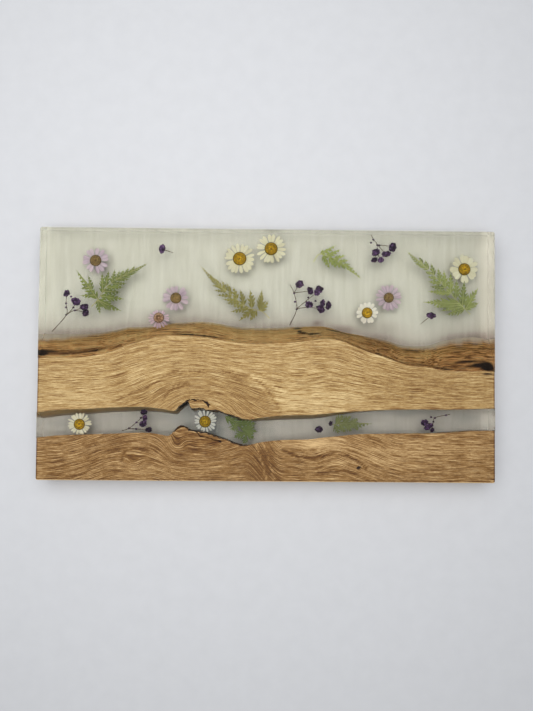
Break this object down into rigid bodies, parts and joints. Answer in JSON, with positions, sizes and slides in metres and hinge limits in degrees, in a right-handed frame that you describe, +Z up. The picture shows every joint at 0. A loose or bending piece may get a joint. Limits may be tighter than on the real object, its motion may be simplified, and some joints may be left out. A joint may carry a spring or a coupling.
{
  "type": "pressed flower resin board",
  "caption": "Flat rectangular board of oak planks with a natural edge joined by poured clear resin that seals pressed daisies, fern fronds and dark purple blossoms.",
  "frame": {"origin": "middle of the flat underside of the board", "axes": "+X along the length, +Y across it towards the resin field, +Z up out of the show face"},
  "size_m": [0.46, 0.254, 0.026],
  "materials": {
    "oak": "oiled",
    "resin": "satin clear",
    "white_petal": "dried petal",
    "yellow_eye": "dried florets",
    "lilac_petal": "dried petal",
    "brown_eye": "dried florets",
    "fern": "dried leaf",
    "purple_blossom": "dried blossom"
  },
  "bodies": {
    "root": {"oak_plank_upper": "oak", "oak_plank_lower": "oak", "field_resin_base": "resin", "field_resin_top": "resin", "river_resin_base": "resin", "river_resin_top": "resin", "white_daisy_1_petals": "white_petal", "white_daisy_1_eye": "yellow_eye", "white_daisy_2_petals": "white_petal", "white_daisy_2_eye": "yellow_eye", "white_daisy_3_petals": "white_petal", "white_daisy_3_eye": "yellow_eye", "white_daisy_4_petals": "white_petal", "white_daisy_4_eye": "yellow_eye", "white_daisy_5_petals": "white_petal", "white_daisy_5_eye": "yellow_eye", "white_daisy_6_petals": "white_petal", "white_daisy_6_eye": "yellow_eye", "lilac_daisy_1_petals": "lilac_petal", "lilac_daisy_1_eye": "brown_eye", "lilac_daisy_2_petals": "lilac_petal", "lilac_daisy_2_eye": "brown_eye", "lilac_daisy_3_petals": "lilac_petal", "lilac_daisy_3_eye": "brown_eye", "lilac_daisy_4_petals": "lilac_petal", "lilac_daisy_4_eye": "brown_eye", "fern_frond_1": "fern", "fern_frond_2": "fern", "fern_frond_3": "fern", "fern_frond_4": "fern", "fern_frond_5": "fern", "fern_frond_6": "fern", "purple_sprig_1": "purple_blossom", "purple_sprig_2": "purple_blossom", "purple_sprig_3": "purple_blossom", "purple_sprig_4": "purple_blossom", "purple_sprig_5": "purple_blossom", "purple_blossom_1": "purple_blossom", "purple_blossom_2": "purple_blossom", "purple_blossom_3": "purple_blossom", "purple_blossom_4": "purple_blossom"}
  },
  "joints": []
}
